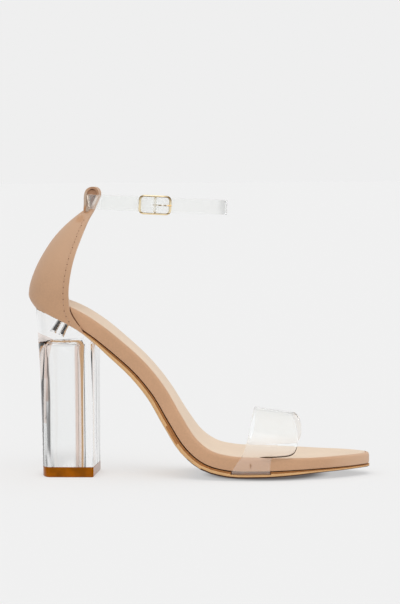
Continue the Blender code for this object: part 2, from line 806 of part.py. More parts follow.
def strap_line():
    """From the free tail through the buckle, round the ankle, to the hook on the bar."""
    keys = column(STRAP_TURNS, 0)
    round_back = np.linspace(-268.0, keys[-1], 900)
    off = np.interp(round_back, keys, column(STRAP_TURNS, 1))
    calm = np.convolve(np.pad(off, 3, mode="edge"), np.ones(7) / 7, mode="valid")
    line = strap_oval(round_back, calm)[::-1]
    walk = lengths(line)
    near = np.abs(line[:, 0]) < 15
    near &= line[:, 1] < -20
    dense = np.where(near, 2.2, 1.0) + 1.2 * (np.abs(line[:, 0]) > 34)
    count = np.concatenate([[0], np.cumsum((dense[1:] + dense[:-1]) / 2 * np.diff(walk))])
    at = np.interp(np.linspace(0, count[-1], STRAP_STEPS), count, walk)
    line = np.stack([np.interp(at, walk, line[:, k]) for k in (0, 1)], 1)
    line = line[~((line[:, 1] < -20) & (line[:, 0] > -0.8) & (np.arange(len(line)) > STRAP_STEPS * 0.7))]
    sweep = np.radians(np.linspace(0, HOOK_SWEEP, HOOK_STEPS))
    centre = np.array([0.0, -STRAP_HALF_WIDTH - BAR_OUT])
    hook = centre + HOOK_RADIUS * np.stack([np.sin(sweep), np.cos(sweep)], 1)
    return np.concatenate([line, hook])


def in_strap_frame(made):
    made.location = [c * MM for c in STRAP_CENTRE]
    made.rotation_euler = (0.0, math.radians(STRAP_TILT), 0.0)
    return made


def ankle_strap(group, tools, colour):
    line = strap_line()
    ahead = np.gradient(line, axis=0)
    ahead /= np.linalg.norm(ahead, axis=1)[:, None]
    across = np.stack([-ahead[:, 1], ahead[:, 0]], 1) * STRAP_THICK / 2
    rings = []
    for side, up in ((1, -1), (-1, -1), (-1, 1), (1, 1)):
        flat = line + side * across
        rings.append(np.concatenate([flat, np.full((len(flat), 1), up * STRAP_HEIGHT / 2)], 1))
    points = np.stack(rings, 1).reshape(-1, 3)
    faces = [tuple(range(4)), tuple(range(len(points) - 4, len(points)))]
    for k in range(len(line) - 1):
        faces += bridged(4 * k, 4 * k + 4, 4)
    made = in_strap_frame(new_object("ankle_strap", points, faces, group, colour, flat=True))
    middle = -STRAP_HALF_WIDTH - BAR_OUT
    join(made, in_strap_frame(slot_block(tools, middle)), "DIFFERENCE")
    return made


def slot_block(tools, middle):
    """The slit in the strap through which the prong comes."""
    x = (-SLOT_BACK, SLOT_FRONT)
    y = (middle - 6.0, middle + 4.0)
    z = (-SLOT_HEIGHT / 2, SLOT_HEIGHT / 2)
    points = [(a, b, c) for c in z for a, b in zip((x[0], x[1], x[1], x[0]), (y[0], y[0], y[1], y[1]))]
    faces = [(0, 1, 2, 3), (4, 5, 6, 7)] + bridged(0, 4, 4)
    return new_object("slot_tool", points, faces, tools)


def buckle_frame(group, tools, colour):
    half_long = (BUCKLE_LENGTH - BUCKLE_SIDE) / 2
    half_high = (BUCKLE_HEIGHT - BUCKLE_RAIL) / 2
    line = rounded_frame(half_long, half_high, BUCKLE_CORNER, BUCKLE_CORNER, 5)
    out = outward(line)
    sides = 10
    turn = np.linspace(0, 2 * math.pi, sides, endpoint=False)
    plane = -STRAP_HALF_WIDTH - BUCKLE_OUT
    points = []
    for place, way in zip(line, out):
        wide = BUCKLE_SIDE * abs(way[0]) ** 2 + BUCKLE_RAIL * abs(way[1]) ** 2
        flat = place + way * wide / 2 * np.cos(turn)[:, None]
        deep = plane + BUCKLE_DEEP / 2 * np.sin(turn)
        points.append(np.stack([flat[:, 0], deep, flat[:, 1]], 1))
    count = len(line)
    faces = []
    for k in range(count):
        faces += bridged(k * sides, ((k + 1) % count) * sides, sides)
    made = in_strap_frame(new_object("buckle_frame", np.concatenate(points), faces, group, colour))
    top = (BUCKLE_HEIGHT - BUCKLE_RAIL) / 2
    bar = -STRAP_HALF_WIDTH - BAR_OUT
    bar_line = (
        (0.0, plane, top),
        (0.0, (plane + bar) / 2, top - 0.1),
        (0.0, bar, top - 0.55),
        (0.0, bar, top - 2.0),
        (0.0, bar, 0.0),
        (0.0, bar, 2.0 - top),
        (0.0, bar, 0.55 - top),
        (0.0, (plane + bar) / 2, 0.1 - top),
        (0.0, plane, -top),
    )
    tool = rod_across("bar_tool", bar_line, BAR_RADIUS, tools)
    join(made, in_strap_frame(tool), "UNION")
    return made


def rod_across(name, line, radius, group, colour=None, sides=12):
    """A round rod in a plane square to the strap's length."""
    line = np.asarray(line, float)
    ahead = np.gradient(line, axis=0)
    ahead /= np.linalg.norm(ahead, axis=1)[:, None]
    turn = np.linspace(0, 2 * math.pi, sides, endpoint=False)
    points = []
    for place, way in zip(line, ahead):
        across = np.array([1.0, 0.0, 0.0])
        upward = np.cross(way, across)
        ring = np.cos(turn)[:, None] * across + np.sin(turn)[:, None] * upward
        points.append(place + ring * radius)
    faces = []
    for k in range(len(line) - 1):
        faces += bridged(k * sides, (k + 1) * sides, sides)
    faces.append(tuple(range(sides)))
    faces.append(tuple(range((len(line) - 1) * sides, len(line) * sides)))
    return new_object(name, np.concatenate(points), faces, group, colour)


def buckle_prong(group, colour):
    rows = np.array(PRONG, float)
    walk = lengths(rows)
    at = np.linspace(0, walk[-1], 24)
    line = np.stack([through(walk, rows[:, k], at) for k in (0, 1)], 1)
    points = np.stack([line[:, 0], -STRAP_HALF_WIDTH - line[:, 1], np.zeros(len(line))], 1)
    return in_strap_frame(rod("buckle_prong", points, PRONG_RADIUS, group, colour, sides=8))


def clear_scene():
    for made in list(bpy.data.objects):
        bpy.data.objects.remove(made, do_unlink=True)


def collection(name):
    made = bpy.data.collections.new(name)
    bpy.context.scene.collection.children.link(made)
    return made


NUDE = ((0.53, 0.30, 0.19), 0.5)
CREAM = ((0.74, 0.62, 0.46), 0.6)
CLEAR = ((0.95, 0.95, 0.95), 0.05, 0.0, 1.0)
GOLD = ((0.83, 0.60, 0.28), 0.22, 1.0)
STEEL = ((0.5, 0.5, 0.5), 0.3, 1.0)
TAN = ((0.62, 0.42, 0.25), 0.6)
BROWN = ((0.30, 0.10, 0.02), 0.35)

clear_scene()
parts = collection("block_heel_sandal")
tools = collection("cutters")

sole_sheet = outsole(parts, TAN)
for side in (-1, 1):
    join(sole_sheet, vamp_notch(tools, side, -2.0, VAMP_TUCKED[0][0] + 0.4), "DIFFERENCE")
footbed(parts, NUDE)
sock(parts, CREAM)
heel(parts, tools, CLEAR)
heel_tip(parts, BROWN)
for number, x in enumerate(NAILS_X, 1):
    rod(f"heel_nail_{number}", nail_line(x, NAIL_LENGTH, 0.0), NAIL_RADIUS, parts, STEEL)
counter(parts, tools, NUDE)
vamp_strap(parts, CLEAR)
ankle_strap(parts, tools, CLEAR)
buckle_frame(parts, tools, GOLD)
buckle_prong(parts, GOLD)

for tool in tools.objects:
    tool.hide_render = True
    tool.display_type = "WIRE"

# The tables start from the side view; the shoe's middle goes to the origin.
for made in [*parts.objects, *tools.objects]:
    made.location.x -= MIDDLE_X * MM
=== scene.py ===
"""Looks of the clear block-heel sandal: nude leather, clear plastic, stitches, gold buckle, light."""

import math

import bpy
import numpy as np
from mathutils import Matrix, Quaternion, Vector
from mathutils.bvhtree import BVHTree


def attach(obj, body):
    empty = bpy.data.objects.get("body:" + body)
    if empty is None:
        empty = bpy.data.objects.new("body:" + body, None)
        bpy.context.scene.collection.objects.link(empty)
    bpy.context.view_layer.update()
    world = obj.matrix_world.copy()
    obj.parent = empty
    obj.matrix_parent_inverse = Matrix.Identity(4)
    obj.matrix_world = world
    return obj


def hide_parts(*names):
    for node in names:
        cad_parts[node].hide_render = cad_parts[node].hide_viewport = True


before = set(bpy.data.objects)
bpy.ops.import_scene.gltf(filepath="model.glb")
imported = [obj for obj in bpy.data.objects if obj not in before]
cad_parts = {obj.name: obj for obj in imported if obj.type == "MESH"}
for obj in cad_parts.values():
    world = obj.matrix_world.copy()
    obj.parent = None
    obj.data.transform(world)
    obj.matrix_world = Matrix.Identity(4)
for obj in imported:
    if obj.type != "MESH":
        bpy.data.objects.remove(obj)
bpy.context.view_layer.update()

MM = 0.001
BODY = "root"
LATERAL = -1

# The photograph's camera, worked out from the shoe's own sizes.
PHOTO_HEIGHT = 604
FOCAL_PIXELS = 2656
SENSOR_MM = 36.0
CAMERA_TURN = math.radians(4.2)
CAMERA_DISTANCE = 1.7
CAMERA_HEIGHT = 0.195
CAMERA_AIM = Vector((0.00125, 0.0, 0.1105))
CAMERA_ROLL = math.radians(-0.35)

# Studio: a glowing pale floor, one large soft lamp above the camera's side, a dark flag behind the heel.
FLOOR_RADIUS = 40.0
FLOOR_SHARE = 0.34
FLOOR_GLOW = 0.515
LAMP_WAY = (0.12, -0.5, 0.858)
LAMP_EDGE = (0.9, 0.98)
LAMP_GLOW = 1.6
FLAG_EDGE = (0.9, 0.96)
FLAG_DARK = 0.75

# Brightness of the studio above the plain backdrop, by height from straight down (0) to straight up (1).
BACKDROP_TOP = 0.56
SKY = ((0.60, 0.73), (0.77, 0.75), (0.83, 0.86), (0.93, 1.05))

# Contact shadow on the floor under the ball of the sole: an oval in metres, and where it fades.
SHADOW_CENTRE = (0.043, 0.0, 0.0)
SHADOW_REACH = (0.038, 0.0362, 1.0)
SHADOW_FADE = (0.72, 1.14)
SHADOW_DARK = 0.8
SHADOW_TONE = (0.05, 0.02, 0.01)

# Colours as seen in the photograph, red green blue from 0 to 255.
BACKDROP = (239, 239, 239)
NUDE = (199, 156, 121)
NUDE_COUNTER = tuple(part * 0.97 for part in NUDE)
NUDE_PALE = (214, 178, 150)
CREAM = (229, 204, 177)
CREAM_NAP = (236, 218, 197)
TAN = (216, 170, 116)
TAN_SPECK = (226, 186, 146)
JOINT_BROWN = (186, 126, 72)
# Painted shade on the outsole's foot and underside, near the floor.
FOOT_SHADE_BROWN = (72, 36, 18)
TIP_BROWN = (160, 88, 0)
GOLD = (238, 221, 184)
# Paler gold: the clear strap's sheen painted on the metal under it.
GOLD_STRAP_SHEEN = (236, 231, 218)
TIP_GOLD = (226, 190, 132)
OLIVE = (118, 88, 42)
STEEL = (84, 80, 77)
STEEL_DARK = (58, 55, 53)
THREAD = (205, 168, 138)
# Painted shade inside the stitch holes.
PINHOLE_SHADE_BROWN = (116, 72, 42)
# Painted shadow in the gap under the counter's front edge.
GAP_SHADOW_BROWN = (112, 70, 38)
# Painted shadow under the toe strap's free edge.
EDGE_SHADOW_BROWN = (78, 52, 24)
# Painted shade in the loop's fold.
FOLD_SHADE_BROWN = (168, 126, 96)
SLIT_BROWN = (140, 108, 88)
LOOP_SHADE = (116, 72, 42)
LOOP_GREY = (188, 167, 148)
# Painted shade in the pinches below the loop.
PINCH_SHADE_BROWN = (186, 136, 94)
# Painted sheen of the clear strap over the leather.
STRAP_SHEEN_PALE = (222, 210, 200)
# Painted highlight on the clear strap's edges inside the loop.
STRAP_EDGE_HIGHLIGHT = (238, 224, 210)

# Where the leather is painted paler as light falls on it: axis, start and end in millimetres, share of
# white.
RAND_PAINTED_LIGHT = ("X", 75.0, 108.0, 0.14)
COUNTER_PAINTED_LIGHT = ("Z", 100.0, 165.0, 0.1)

# Clear heel: shares of light that pass, bending of light, roughness and scale of its waves.
HEEL_TINT = (0.985, 0.99, 0.99)
# Tan tint of the hollow's front corners: a painted reflection of the sole.
HOLLOW_REFLECTION_TINT = (0.8, 0.65, 0.58)
HEEL_CLEAR = 1.0
HEEL_BEND = 1.47
CAST_SURFACE = (0.015, 60.0)

# Gloss of the heel tip's sides and of its front.
TIP_GLOSS = 0.08
BREAST_GLOSS = 0.3

# Top of the heel's hollow, in millimetres, and the slant of its rounded front corners.
HOLLOW_TOP = 88.0
CORNER_SLANT = (-0.985, -0.2)

# Clear ankle strap: greyer at its doubled free end, along X in millimetres.
SHEET_SURFACE = (0.05, 90.0)
ANKLE_TINT = (0.976, 0.981, 0.976)
ANKLE_CHANGE = ("X", 13.0, 16.5, (0.878, 0.883, 0.878))
ANKLE_CLEAR = 0.9
ANKLE_BEND = 1.13

# Clear toe strap: warmer where it lies on the rand, along Z in millimetres, with a glossy coat.
TAB_TINT = (0.92, 0.84, 0.765)
TOE_CHANGE = ("Z", 11.0, 24.0, (0.976, 0.99, 0.99))
TOE_CLEAR = 0.86
TOE_BEND = 1.07
TOE_COAT = 0.45
COAT_ROUGH = 0.12

# A small step off a surface before a line is cast from it, in millimetres.
SKIN = 0.01

# Lines cast from the side: where they start and how far they reach, in metres.
SIDE_AWAY = 0.06
SIDE_REACH = 0.058

# Counter, in millimetres: foot of its loop, middle of the heel cup, depth from which a face is a cut edge.
LOOP_FOOT = 167.0
CUP_MIDDLE = -75.0
CUT_DEEP = 2.6
EDGE_SEARCH = (-88.0, -50.0)

# Stitch row of the counter, in millimetres.
STITCH_PITCH = 3.7
STITCH_INSIDE = 3.4
STITCH_LOW = 100.0
STITCH_HIGH = 164.0
THREAD_LONG = 2.7
THREAD_WIDE = 0.55
THREAD_HIGH = 0.5
HOLE_WIDE = 0.68
HOLE_HIGH = 0.25

# Outsole, in millimetres: heights up to which its foot and underside are painted dark as shade, and the
# height of the joint groove.
SHADE_HIGH = 12.0
SHADE_FULL = 1.2
SHADE_END = 2.8
GROOVE_SKIN = 0.1
GROOVE_REACH = 2.4
GROOVE_LEAN = 0.12

# Spots of colour on the counter, round its loop and in the pinches below it, in millimetres. Among them are
# painted shade in the fold, at the loop's foot and in the pinches, and the clear strap's painted sheen.
COUNTER_SHADES = (
    # centre, radius, colour, share
    # Painted shade under the loop's fold.
    ((-64.8, -6.0, 182.4), 7.0, FOLD_SHADE_BROWN, 0.9),
    ((-66.0, -7.0, 173.4), 5.0, LOOP_SHADE, 0.75),
    ((-72.6, -7.5, 177.0), 7.0, LOOP_GREY, 0.9),
    # Painted sheen of the clear strap.
    ((-63.6, -7.5, 174.8), 5.2, STRAP_SHEEN_PALE, 0.85),
    # Painted shade in the pinches.
    ((-70.6, -7.5, 170.0), 3.6, PINCH_SHADE_BROWN, 0.7),
    ((-74.0, -9.0, 163.4), 4.6, PINCH_SHADE_BROWN, 0.55),
)

# Soft troughs pressed into the counter, in millimetres.
COUNTER_CREASES = (
    # upper end and lower end as x and z, depth, half width
    ((-69.6, 171.0), (-74.2, 163.6), 1.5, 1.7),
    ((-76.0, 160.0), (-82.5, 143.0), 0.9, 3.4),
    ((-71.0, 163.0), (-74.5, 150.0), 0.6, 2.2),
)

# Painted shadow line in the gap along the lower front edge of the counter, in millimetres.
GAP_SHADOW_LOW = 95.0
GAP_SHADOW_HIGH = 114.0
GAP_SHADOW_AHEAD = 0.35
GAP_SHADOW_THICK = 0.8

# Insides of the loop, partly coloured with painted shade, and pale lines painted as the highlights of the
# clear strap's edges, in millimetres.
LOOP_BOW = 1.0
LOOP_BLOCKS = (
    # name, size, centre, lean of the front at its foot, rounding, colour
    ("loop_tongue", (2.8, 12.6, 10.0), (-67.4, 0.0, 174.8), -1.9, 0.4, LOOP_SHADE),
    ("loop_fold", (7.4, 13.2, 4.2), (-67.8, 0.0, 181.0), 0.0, 1.7, FOLD_SHADE_BROWN),
    ("loop_pad", (2.4, 13.0, 12.4), (-70.9, 0.0, 174.8), 1.4, 0.4, LOOP_GREY),
)
PALE_EDGE_TOP = (-70.0, 179.4)
PALE_EDGE_FOOT = (-68.3, 171.8)
PALE_EDGE_Y = 7.7
PALE_EDGE_THICK = 1.1

# Buckle, in millimetres: its rails, their dark inner lines and corners, the prong's tip and dark dots.
BUCKLE_RAIL = 2.6
RAIL_DARK = (0.8, 1.5)
RAIL_SOFT = 0.15
BACK_CORNER_DARK = 4.5
FRONT_CORNER_DARK = 6.5
PRONG_DOTS_BACK = (4.1, 7.3)
PRONG_DOT = 1.4
PRONG_TIP_LONG = 2.6
OLIVE_SHARE = 0.8

# Fall of the ankle strap towards the toe.
STRAP_FALL = math.tan(math.radians(2.9))

# Slits of the toe strap where it bends over the rand, and the painted shadow line along its free edge, in
# millimetres.
SLIT_X = 35.1
SLIT_Y = 42.0
SLIT_Z = 9.7
SLIT_WIDE = 0.4
SLIT_DEEP = 6.0
SLIT_HIGH = 3.0
EDGE_SLIT_X = 45.8
EDGE_SLIT_Z = 15.0
EDGE_SLIT_LONG = 9.0
EDGE_SLIT_HIGH = 0.5
EDGE_LINE_FROM = 41.4
EDGE_LINE_TO = 64.2
EDGE_LINE_TOP = 24.0
EDGE_LINE_THICK = 1.0

# Thin lines: thickness at their tips as a share, and how fast they swell from there.
LINE_TIP = 0.3
LINE_SWELL = 4.0


def linear(colour):
    """A colour of the photograph as the shader's numbers."""
    shares = [part / 255 for part in colour]
    return tuple(s / 12.92 if s <= 0.04045 else ((s + 0.055) / 1.055) ** 2.4 for s in shares)


class Wire:
    """A socket in a shader tree: sums add Math nodes, and node() adds any other node."""

    def __init__(self, tree, socket=None):
        self.tree = tree
        self.socket = socket

    def feed(self, socket, value):
        if isinstance(value, Wire):
            self.tree.links.new(value.socket, socket)
        else:
            socket.default_value = value

    def node(self, kind, settings=None, inputs=None, out=0):
        made = self.tree.nodes.new("ShaderNode" + kind)
        for name, value in (settings or {}).items():
            if name == "stops":
                self.set_stops(made.color_ramp, value)
            else:
                setattr(made, name, value)
        for key, value in (inputs or {}).items():
            self.feed(made.inputs[key], value)
        return Wire(self.tree, made.outputs[out])

    def set_stops(self, ramp, stops):
        while len(ramp.elements) < len(stops):
            ramp.elements.new(1.0)
        for element, (place, colour) in zip(ramp.elements, stops):
            element.position = place
            element.color = (*colour, 1.0)

    def maths(self, operation, first, second=0.0):
        return self.node("Math", {"operation": operation}, {0: first, 1: second})

    def mixed(self, share, first, second):
        inputs = {0: share, 6: first, 7: second}
        return self.node("Mix", {"data_type": "RGBA"}, inputs, out=2)

    def smooth(self, low, high):
        """0 below low, 1 above high and a soft step between."""
        settings = {"interpolation_type": "SMOOTHSTEP"}
        return self.node("MapRange", settings, {0: self, 1: low, 2: high, 3: 0.0, 4: 1.0})

    def part(self, axis):
        return self.node("SeparateXYZ", None, {0: self}, out=axis)

    def __add__(self, other):
        return self.maths("ADD", self, other)

    def __radd__(self, other):
        return self.maths("ADD", other, self)

    def __sub__(self, other):
        return self.maths("SUBTRACT", self, other)

    def __rsub__(self, other):
        return self.maths("SUBTRACT", other, self)

    def __mul__(self, other):
        return self.maths("MULTIPLY", self, other)

    def __rmul__(self, other):
        return self.maths("MULTIPLY", other, self)


class Finish:
    """One material: a Principled shader with constants, fed by wires where it varies."""

    def __init__(self, name, **constants):
        self.material = bpy.data.materials.new(name)
        self.material.use_nodes = True
        tree = self.material.node_tree
        self.shader = tree.nodes["Principled BSDF"]
        self.wire = Wire(tree)
        for key, value in constants.items():
            self.shader.inputs[key.replace("_", " ")].default_value = value
        self.place = self.wire.node("TexCoord", out="Object")

    def noise(self, scale, detail):
        inputs = {"Vector": self.place, "Scale": scale, "Detail": detail}
        return self.wire.node("TexNoise", None, inputs)

    def cells(self, scale):
        return self.wire.node("TexVoronoi", None, {"Vector": self.place, "Scale": scale})

    def spot(self, centre, radius):
        """1 at a place given in millimetres, fading to 0 at the radius."""
        ends = {0: self.place, 1: [c * MM for c in centre]}
        away = self.wire.node("VectorMath", {"operation": "DISTANCE"}, ends, out="Value")
        return 1.0 - away.smooth(radius * 0.35 * MM, radius * MM)

    def colour(self, value):
        self.wire.feed(self.shader.inputs["Base Color"], value)

    def rough(self, value):
        self.wire.feed(self.shader.inputs["Roughness"], value)

    def bump(self, height, strength, distance):
        inputs = {"Strength": strength, "Distance": distance, "Height": height}
        self.wire.feed(self.shader.inputs["Normal"], self.wire.node("Bump", None, inputs))


def rgba(colour):
    return (*linear(colour), 1.0)


def leather(name, colour, pale=None, shades=()):
    """Fine-grained imitation leather with a soft, cloudy tone, and painted light that may pale it along one
    axis.

    Each shade is a round spot: its centre and radius in millimetres, its colour and its share.
    """
    made = Finish(name, Specular_IOR_Level=0.35, Sheen_Weight=0.08, Sheen_Roughness=0.5)
    clouds = made.noise(45.0, 2.0)
    fine = made.noise(900.0, 2.0)
    pebbles = made.cells(1500.0)
    darker = [part * 0.965 for part in colour]
    lighter = [min(255, part * 1.06) for part in colour]
    tone = made.wire.mixed(clouds.smooth(0.25, 0.75), rgba(darker), rgba(colour))
    tone = made.wire.mixed(fine.smooth(0.35, 0.7) * 0.35, tone, rgba(lighter))
    # Painted light: the tone turns paler along one axis.
    if pale:
        axis, start, end, white = pale
        lit_colour = [255 - (255 - part) * (1 - white) for part in colour]
        tone = made.wire.mixed(made.place.part(axis).smooth(start * MM, end * MM), tone, rgba(lit_colour))
    for centre, radius, shade, share in shades:
        tone = made.wire.mixed(made.spot(centre, radius) * share, tone, rgba(shade))
    made.colour(tone)
    made.rough(0.46 + 0.14 * clouds + 0.05 * fine)
    made.bump(pebbles * 0.7 + fine * 0.5, 0.28, 0.00012)
    return made.material


def sock_cover():
    """Smooth cream insole cover, faintly cloudy, with a fine nap."""
    made = Finish("sock_cover", Specular_IOR_Level=0.3, Sheen_Weight=0.15, Sheen_Roughness=0.6)
    clouds = made.noise(40.0, 3.0)
    nap = made.noise(1400.0, 3.0)
    tone = made.wire.mixed(clouds.smooth(0.25, 0.8), rgba([p * 0.97 for p in CREAM]), rgba(CREAM))
    made.colour(made.wire.mixed(nap.smooth(0.3, 0.75) * 0.3, tone, rgba(CREAM_NAP)))
    made.rough(0.58 + 0.12 * nap)
    made.bump(nap, 0.18, 0.0001)
    return made.material


def sole_tan():
    """Tan resin sheet: matt, with fine specks, and painted shade where it meets the floor."""
    made = Finish("sole_tan", Specular_IOR_Level=0.35)
    clouds = made.noise(90.0, 3.0)
    specks = made.noise(1900.0, 2.0)
    tone = made.wire.mixed(clouds.smooth(0.3, 0.7), rgba([p * 0.95 for p in TAN]), rgba(TAN))
    tan = made.wire.mixed(specks.smooth(0.45, 0.75) * 0.4, tone, rgba(TAN_SPECK))
    # Painted shade: the foot turns dark brown near the floor.
    near_floor_shade = made.place.part("Z").smooth(SHADE_FULL * MM, SHADE_END * MM)
    made.colour(made.wire.mixed(near_floor_shade, rgba(FOOT_SHADE_BROWN), tan))
    made.rough(0.5 + 0.15 * specks)
    made.bump(specks, 0.2, 0.00015)
    return made.material


def sole_joint(name, colour):
    """Brown edge dye in the joint between rand and outsole; the same finish paints shade under the sole."""
    made = Finish(name, Specular_IOR_Level=0.25)
    clouds = made.noise(300.0, 2.0)
    made.colour(made.wire.mixed(clouds, rgba(colour), rgba([p * 0.8 for p in colour])))
    made.rough(0.55 + 0.2 * clouds)
    return made.material


def tip_rubber(name, gloss):
    """Brown rubber of the heel tip, semi-gloss and faintly ground."""
    made = Finish(name, Specular_IOR_Level=gloss)
    clouds = made.noise(120.0, 3.0)
    ground = made.noise(1500.0, 3.0)
    lower = [p * 0.82 for p in TIP_BROWN]
    made.colour(made.wire.mixed(clouds.smooth(0.3, 0.7), rgba(lower), rgba(TIP_BROWN)))
    made.rough(0.03 + 0.06 * ground)
    made.bump(ground, 0.03, 0.0001)
    return made.material


def clear_plastic(name, tint, clear, bend, surface, change=None, coat=0.0):
    """Clear plastic with slow waves in its surface, as a pressed or cast sheet has.

    The surface is its roughness and the scale of its waves. A change is an axis, the two places
    in millimetres between which the tint turns, and the second tint.
    """
    made = Finish(name, Transmission_Weight=clear, IOR=bend, Coat_Weight=coat, Coat_Roughness=COAT_ROUGH)
    tone = (*tint, 1.0)
    if change:
        axis, start, end, second = change
        tone = made.wire.mixed(made.place.part(axis).smooth(start * MM, end * MM), tone, (*second, 1.0))
    made.colour(tone)
    rough, wave = surface
    slow = made.noise(wave, 1.0)
    made.rough(rough + rough * 0.6 * slow)
    made.bump(slow, 0.12, 0.0006)
    return made.material


def gold_metal(name, colour, metal, dark_spots=(), dark_bands=()):
    """Polished gold-coloured metal, dark round the spots and between the levels of each band.

    The levels are millimetres of height above a plane that falls like the ankle strap.
    """
    made = Finish(name, Metallic=metal)
    marks = made.noise(700.0, 4.0)
    tone = made.wire.mixed(marks, rgba(colour), rgba([min(255, p * 1.04) for p in colour]))
    for centre, radius in dark_spots:
        tone = made.wire.mixed(made.spot(centre, radius) * OLIVE_SHARE, tone, rgba(OLIVE))
    level = made.place.part("Z") + made.place.part("X") * STRAP_FALL
    for low, high in dark_bands:
        above = level.smooth((low - RAIL_SOFT) * MM, (low + RAIL_SOFT) * MM)
        below = 1.0 - level.smooth((high - RAIL_SOFT) * MM, (high + RAIL_SOFT) * MM)
        tone = made.wire.mixed(above * below * OLIVE_SHARE, tone, rgba(OLIVE))
    made.colour(tone)
    made.rough(0.1 + 0.12 * marks)
    return made.material


def nail_steel():
    """Plain dark steel, faintly turned."""
    made = Finish("nail_steel", Metallic=1.0)
    turned = made.noise(1200.0, 2.0)
    made.colour(made.wire.mixed(turned, rgba(STEEL_DARK), rgba(STEEL)))
    made.rough(0.28 + 0.15 * turned)
    return made.material


def thread_finish(name, colour):
    """Twisted sewing thread; the same finish gives the painted shade inside the pinholes."""
    made = Finish(name, Specular_IOR_Level=0.3)
    twist = made.noise(2600.0, 1.0)
    made.colour(made.wire.mixed(twist, rgba([p * 0.88 for p in colour]), rgba(colour)))
    made.rough(0.55 + 0.2 * twist)
    made.bump(twist, 0.3, 0.0001)
    return made.material


def pick(*objects):
    """Selects these objects only; the last one is active."""
    bpy.ops.object.select_all(action="DESELECT")
    for piece in objects:
        piece.select_set(True)
        bpy.context.view_layer.objects.active = piece


def edit(piece, select="SELECT"):
    pick(piece)
    bpy.ops.object.mode_set(mode="EDIT")
    bpy.ops.mesh.select_mode(type="VERT")
    bpy.ops.mesh.select_all(action=select)


def leave():
    bpy.ops.object.mode_set(mode="OBJECT")


def apply(piece, kind, **settings):
    """Adds one modifier with these settings and applies it."""
    pick(piece)
    modifier = piece.modifiers.new(kind.lower(), kind)
    for key, value in settings.items():
        setattr(modifier, key, value)
    bpy.ops.object.modifier_apply(modifier=modifier.name)


def copy_of(node, name, slot, *materials):
    """A copy of one solid, merged to clean quads, that stands for it."""
    piece = bpy.data.objects.new(name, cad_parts[node].data.copy())
    bpy.context.scene.collection.objects.link(piece)
    piece.data.materials.clear()
    for material in materials:
        piece.data.materials.append(material)
    edit(piece)
    bpy.ops.mesh.customdata_custom_splitnormals_clear()
    bpy.ops.mesh.remove_doubles(threshold=0.00002)
    bpy.ops.mesh.tris_convert_to_quads(face_threshold=math.radians(40), shape_threshold=math.radians(60))
    leave()
    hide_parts(node)
    return settle(piece)


def settle(piece):
    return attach(piece, BODY)


def smooth(piece, angle):
    pick(piece)
    bpy.ops.object.shade_smooth_by_angle(angle=math.radians(angle))
    return piece


def lets_light_through(piece):
    """Leaves a clear piece out of shadows and of the light that other pieces pass on."""
    piece.visible_shadow = False
    piece.visible_diffuse = False
    return piece


def round_edges(piece, width, angle, segments=2):
    apply(
        piece,
        "BEVEL",
        width=width * MM,
        segments=segments,
        limit_method="ANGLE",
        angle_limit=math.radians(angle),
        harden_normals=False,
    )


def refine(piece, levels, crease_angle):
    """Subdivides the quads and keeps the edges that are sharper than the angle."""
    pick(piece)
    bpy.ops.object.mode_set(mode="EDIT")
    bpy.ops.mesh.select_mode(type="EDGE")
    bpy.ops.mesh.select_all(action="DESELECT")
    bpy.ops.mesh.edges_select_sharp(sharpness=math.radians(crease_angle))
    bpy.ops.transform.edge_crease(value=1.0)
    leave()
    apply(piece, "SUBSURF", levels=levels, render_levels=levels)


def paint_faces(piece, slot_number, chosen):
    """Gives another material to the faces for which chosen(centre, normal) is true."""
    for face in piece.data.polygons:
        if chosen(face.center, face.normal):
            face.material_index = slot_number


def footbed_piece(wrap):
    piece = copy_of("footbed", "wrapped_footbed", "nude_wrap", wrap)
    refine(piece, 1, 60)
    return smooth(piece, 50)


def sock_piece(cover):
    piece = copy_of("sock", "sock_cover", "sock", cover)
    refine(piece, 1, 60)
    return smooth(piece, 50)


def outsole_piece(sheet, joint, foot):
    piece = copy_of("outsole", "sole_sheet", "outsole", sheet, joint, foot)
    tree = tree_of(piece)

    def in_groove(centre, normal):
        if abs(normal.z) > 0.75:
            return False
        down = Vector((normal.x, normal.y, 0.0)).normalized() * GROOVE_LEAN + Vector((0.0, 0.0, -1.0))
        hit = tree.ray_cast(centre + normal * GROOVE_SKIN * MM, down.normalized(), GROOVE_REACH * MM)
        return hit[0] is not None

    paint_faces(piece, 1, in_groove)
    # Painted shade on the downward faces near the floor.
    paint_faces(piece, 2, lambda centre, normal: normal.z < -0.2 and centre.z < SHADE_HIGH * MM)
    return smooth(piece, 40)


def heel_piece(clear, corner):
    """The clear block; the rounded front corners of its hollow are tinted tan, a painted reflection of the
    tan sole.
    """
    piece = copy_of("heel", "clear_heel_block", "clear_heel", clear, corner)
    round_edges(piece, 0.45, 45)
    tree = tree_of(piece)

    def is_hollow_corner(centre, normal):
        slanted = abs(normal.z) < 0.3 and CORNER_SLANT[0] < normal.x < CORNER_SLANT[1]
        faces_wall = tree.ray_cast(centre + normal * SKIN * MM, normal)[0] is not None
        return slanted and faces_wall and centre.z < HOLLOW_TOP * MM

    # Painted reflection: the hollow's front corners get the tan tint.
    paint_faces(piece, 1, is_hollow_corner)
    return lets_light_through(smooth(piece, 35))


def heel_tip_piece(rubber, breast):
    piece = copy_of("heel_tip", "heel_top_piece", "heel_tip", rubber, breast)
    round_edges(piece, 0.25, 50)
    paint_faces(piece, 1, lambda centre, normal: normal.x > 0.9)
    return smooth(piece, 40)


def nail_pieces(steel):
    for number in (1, 2):
        smooth(copy_of(f"heel_nail_{number}", f"heel_nail_steel_{number}", "nail", steel), 40)


